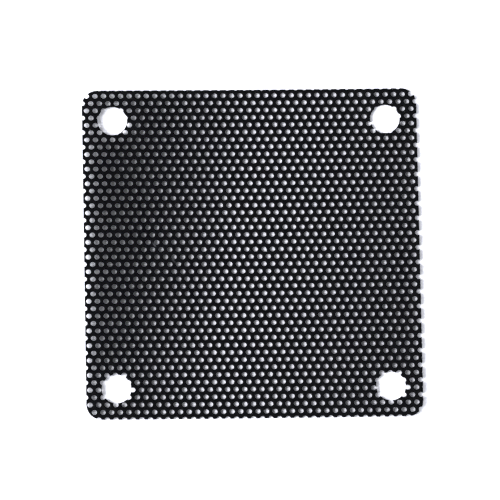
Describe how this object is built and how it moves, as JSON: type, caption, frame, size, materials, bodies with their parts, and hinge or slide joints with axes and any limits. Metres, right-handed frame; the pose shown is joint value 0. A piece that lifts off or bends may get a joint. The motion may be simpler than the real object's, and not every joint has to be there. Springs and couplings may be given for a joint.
{
  "type": "fan dust filter",
  "caption": "Square sheet of black perforated film with rounded corners and a screw hole near each corner, screwed over a small fan to keep dust out.",
  "frame": {"origin": "under the middle of the sheet, on the surface that it lies on", "axes": "+Z through the sheet, out of the face that the holes were punched from; +X along the hole rows, so that the left edge in the picture is -X; +Y up the picture"},
  "size_m": [0.0492, 0.0492, 0.0011],
  "materials": {
    "black_pvc_film": "semi-matt black PVC film, a little glossier on the punched edges"
  },
  "bodies": {
    "root": {"filter_sheet": "black_pvc_film"}
  },
  "joints": []
}
